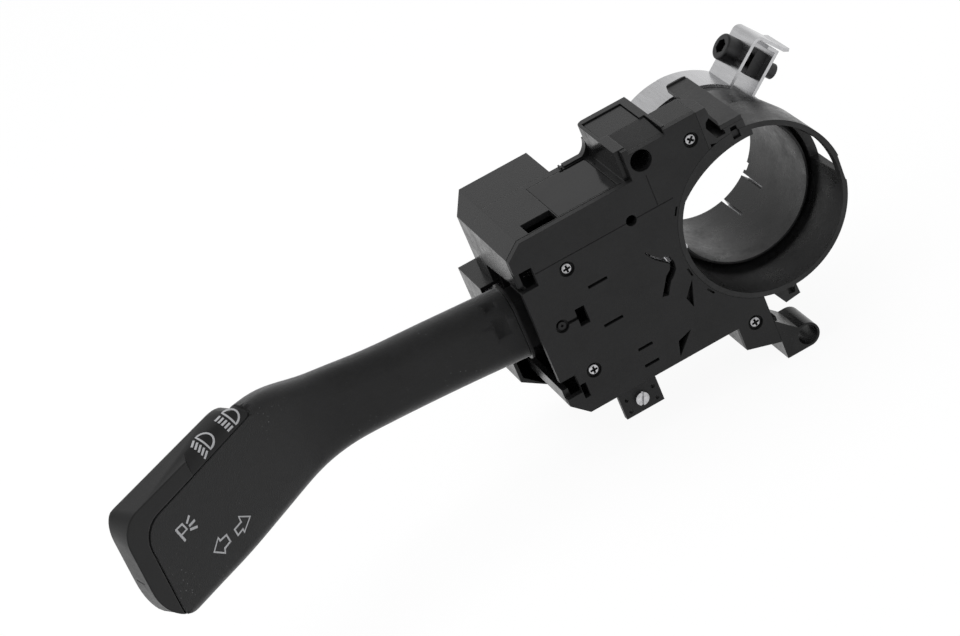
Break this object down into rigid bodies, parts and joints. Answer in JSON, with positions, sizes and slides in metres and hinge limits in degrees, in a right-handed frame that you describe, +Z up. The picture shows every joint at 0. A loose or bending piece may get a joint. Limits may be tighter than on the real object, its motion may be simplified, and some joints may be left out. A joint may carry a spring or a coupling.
{
  "type": "steering column stalk switch",
  "caption": "Steering column stalk switch: a left-hand paddle stalk on a moulded switch housing whose collar clamps round the column tube",
  "frame": {"origin": "on the column bore's axis at the sleeve's rear mouth, where the column tube enters", "axes": "+Y along the bore away from the driver, +X away from the stalk (the object's long direction), +Z up"},
  "size_m": [0.2961, 0.0991, 0.1035],
  "materials": {
    "cover_plastic": "fine-grained black moulded plastic",
    "housing_plastic": "smooth black glass-filled plastic with a low sheen",
    "label_plastic": "smooth black plastic, slightly glossier, left bare",
    "collar_plastic": "smooth black glass-filled plastic",
    "grip_plastic": "soft-feel black with a faint fine grain",
    "cap_plastic": "satin black moulded plastic",
    "inner_plastic": "black sliding plastic",
    "white_plastic": "natural white sliding plastic",
    "band_steel": "bright zinc plated strip",
    "zinc_screws": "bright zinc plated",
    "dark_steel": "dark phosphated steel, lightly oiled",
    "pin_steel": "ground steel",
    "spring_steel": "bright spring strip",
    "contact_metal": "tinned contact strip"
  },
  "bodies": {
    "housing": {"front_cover": "cover_plastic", "housing_base": "housing_plastic", "rear_housing": "housing_plastic", "label_panel": "label_plastic", "block_lid": "housing_plastic", "connector_blades": "contact_metal", "side_chamber": "housing_plastic", "side_contacts": "contact_metal", "column_collar": "collar_plastic", "clip_bracket": "collar_plastic", "spring_clip": "collar_plastic", "latch_loop": "collar_plastic", "mounting_tab": "cover_plastic", "tab_screw": "zinc_screws", "cover_screws": "zinc_screws", "clamp_band": "band_steel", "clamp_nut": "dark_steel", "detent_track": "inner_plastic", "contact_plate": "inner_plastic", "cancel_pin": "pin_steel", "cancel_spring": "spring_steel"},
    "yoke": {"lever_yoke": "inner_plastic", "tilt_pin": "pin_steel"},
    "lever": {"lever_core": "inner_plastic", "lever_shield": "inner_plastic", "lever_grip": "grip_plastic", "lever_end_cap": "cap_plastic", "detent_spring": "spring_steel"},
    "plunger": {"detent_plunger": "white_plastic"},
    "signal_slider": {"indicator_slider": "white_plastic"},
    "beam_slider": {"dip_slider": "white_plastic"},
    "pawl": {"cancel_pawl": "white_plastic"},
    "screw": {"clamp_screw": "dark_steel"}
  },
  "joints": [
    {"name": "signal_turn", "type": "hinge", "parent": "housing", "child": "yoke", "pos_m": [-0.0814, -0.0465, -0.0015], "axis": [0, 1, 0], "range_deg": [-10, 10]},
    {"name": "beam_tilt", "type": "hinge", "parent": "yoke", "child": "lever", "pos_m": [-0.0814, -0.0465, -0.0015], "axis": [0, 0, 1], "range_deg": [-6, 6]},
    {"name": "plunger_slide", "type": "slide", "parent": "lever", "child": "plunger", "axis": [1, 0, 0], "range_m": [-0.0004, 0.0003], "stiffness_N_per_m": 900, "deforming": ["detent_spring"]},
    {"name": "signal_slide", "type": "slide", "parent": "housing", "child": "signal_slider", "axis": [0, 0, -1], "range_m": [-0.0025, 0.0025]},
    {"name": "beam_slide", "type": "slide", "parent": "housing", "child": "beam_slider", "axis": [0, 1, 0], "range_m": [-0.0015, 0.0015]},
    {"name": "cancel_swing", "type": "hinge", "parent": "housing", "child": "pawl", "pos_m": [-0.042, -0.0551, -0.0015], "axis": [0, 1, 0], "range_deg": [-12, 12], "stiffness_Nm_per_rad": 0.04},
    {"name": "clamp_turn", "type": "hinge", "parent": "housing", "child": "screw", "pos_m": [0.03126, -0.00925, 0.02562], "axis": [0.6088, 0, -0.7934], "continuous": true}
  ],
  "couplings": [
    {"joint": "signal_slide", "follows": "signal_turn", "m_per_rad": 0.0139},
    {"joint": "beam_slide", "follows": "beam_tilt", "m_per_rad": 0.0134}
  ]
}
